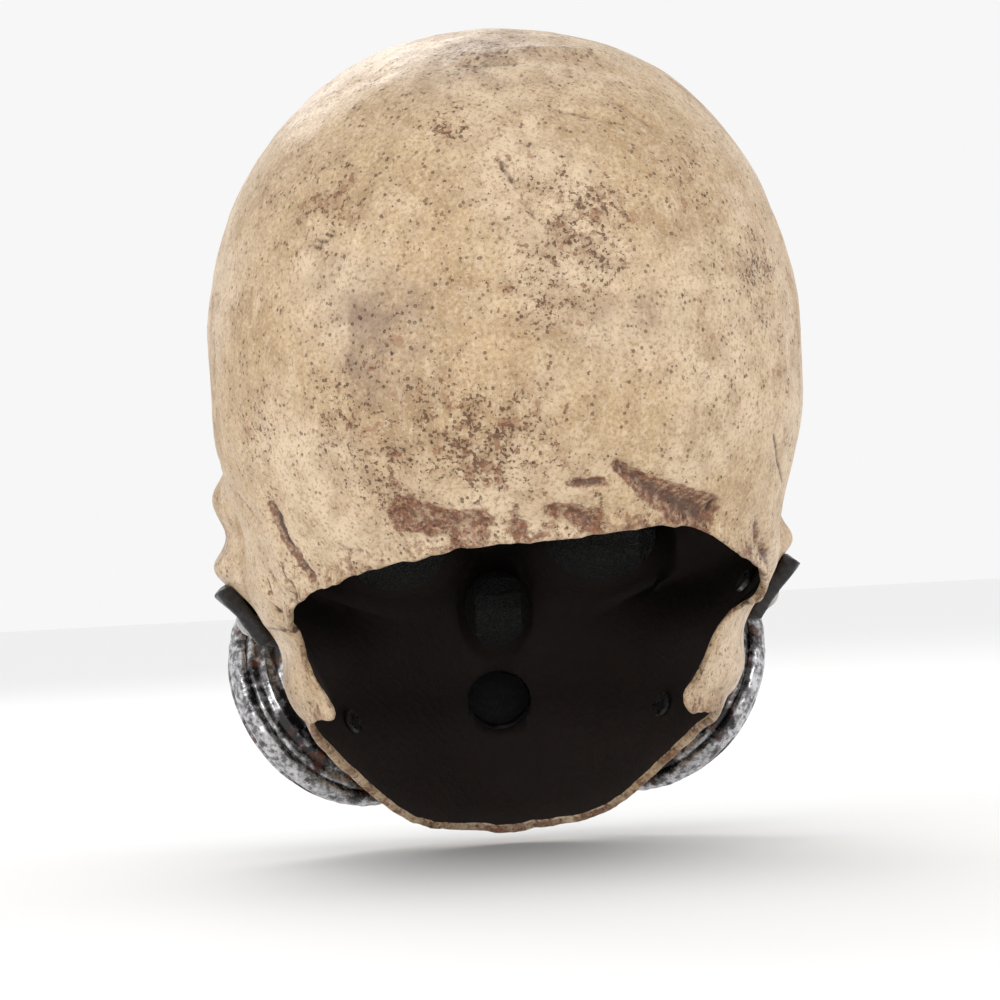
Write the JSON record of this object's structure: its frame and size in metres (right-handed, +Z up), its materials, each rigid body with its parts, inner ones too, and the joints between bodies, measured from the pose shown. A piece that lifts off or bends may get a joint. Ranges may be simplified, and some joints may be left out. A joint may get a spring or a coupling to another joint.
{
  "type": "latex skull mask with respirator",
  "caption": "Full-head bone-coloured latex skull mask with a rubber half-mask respirator and side filter canisters, worn pulled over the head.",
  "frame": {"origin": "centre of the crown pad's flat lower face, which rests on the wearer's crown", "axes": "+Z up, the face looks along -Y, +X towards the wearer's left"},
  "size_m": [0.213, 0.2911, 0.2885],
  "materials": {
    "bone_latex": "matt painted latex, bone cream with brown antiquing in its pits and creases",
    "liner_foam": "charcoal open-cell foam",
    "filter_pad": "dark felted filter pad",
    "screen_mesh": "black woven see-through mesh",
    "black_rubber": "black moulded rubber with a low sheen",
    "seal_rubber": "soft black seal rubber",
    "steel_fixing": "dulled steel",
    "dark_cast_silver": "black with silver rubbed over the raised parts",
    "cast_silver": "rough silver paint, black and rust brown in the hollows"
  },
  "bodies": {
    "mask": {"skull_skin": "bone_latex", "crown_pad": "liner_foam", "brow_pad": "liner_foam", "nose_screen": "screen_mesh", "eye_screen_left": "screen_mesh", "eye_screen_right": "screen_mesh", "facepiece": "black_rubber", "exhaust_housing": "cast_silver", "exhaust_valve": "seal_rubber", "exhaust_grille": "dark_cast_silver", "gasket_left": "seal_rubber", "gasket_right": "seal_rubber", "rivet_left_upper": "steel_fixing", "rivet_left_lower": "steel_fixing", "rivet_right_upper": "steel_fixing", "rivet_right_lower": "steel_fixing"},
    "canister_left": {"canister_left_housing": "cast_silver", "canister_left_rim": "cast_silver", "canister_left_filter": "filter_pad", "canister_left_cover": "dark_cast_silver", "canister_left_cap": "cast_silver", "canister_left_screw_1": "steel_fixing", "canister_left_screw_2": "steel_fixing", "canister_left_screw_3": "steel_fixing"},
    "canister_right": {"canister_right_housing": "cast_silver", "canister_right_rim": "cast_silver", "canister_right_filter": "filter_pad", "canister_right_cover": "dark_cast_silver", "canister_right_cap": "cast_silver", "canister_right_screw_1": "steel_fixing", "canister_right_screw_2": "steel_fixing", "canister_right_screw_3": "steel_fixing"}
  },
  "joints": [
    {"name": "canister_left_twist", "type": "hinge", "parent": "mask", "child": "canister_left", "pos_m": [0.06051, -0.13503, -0.1925], "axis": [0.5799, -0.7098, -0.3999], "range_deg": [0, 60]},
    {"name": "canister_right_twist", "type": "hinge", "parent": "mask", "child": "canister_right", "pos_m": [-0.06051, -0.13503, -0.1925], "axis": [-0.5799, -0.7098, -0.3999], "range_deg": [0, 60]}
  ]
}
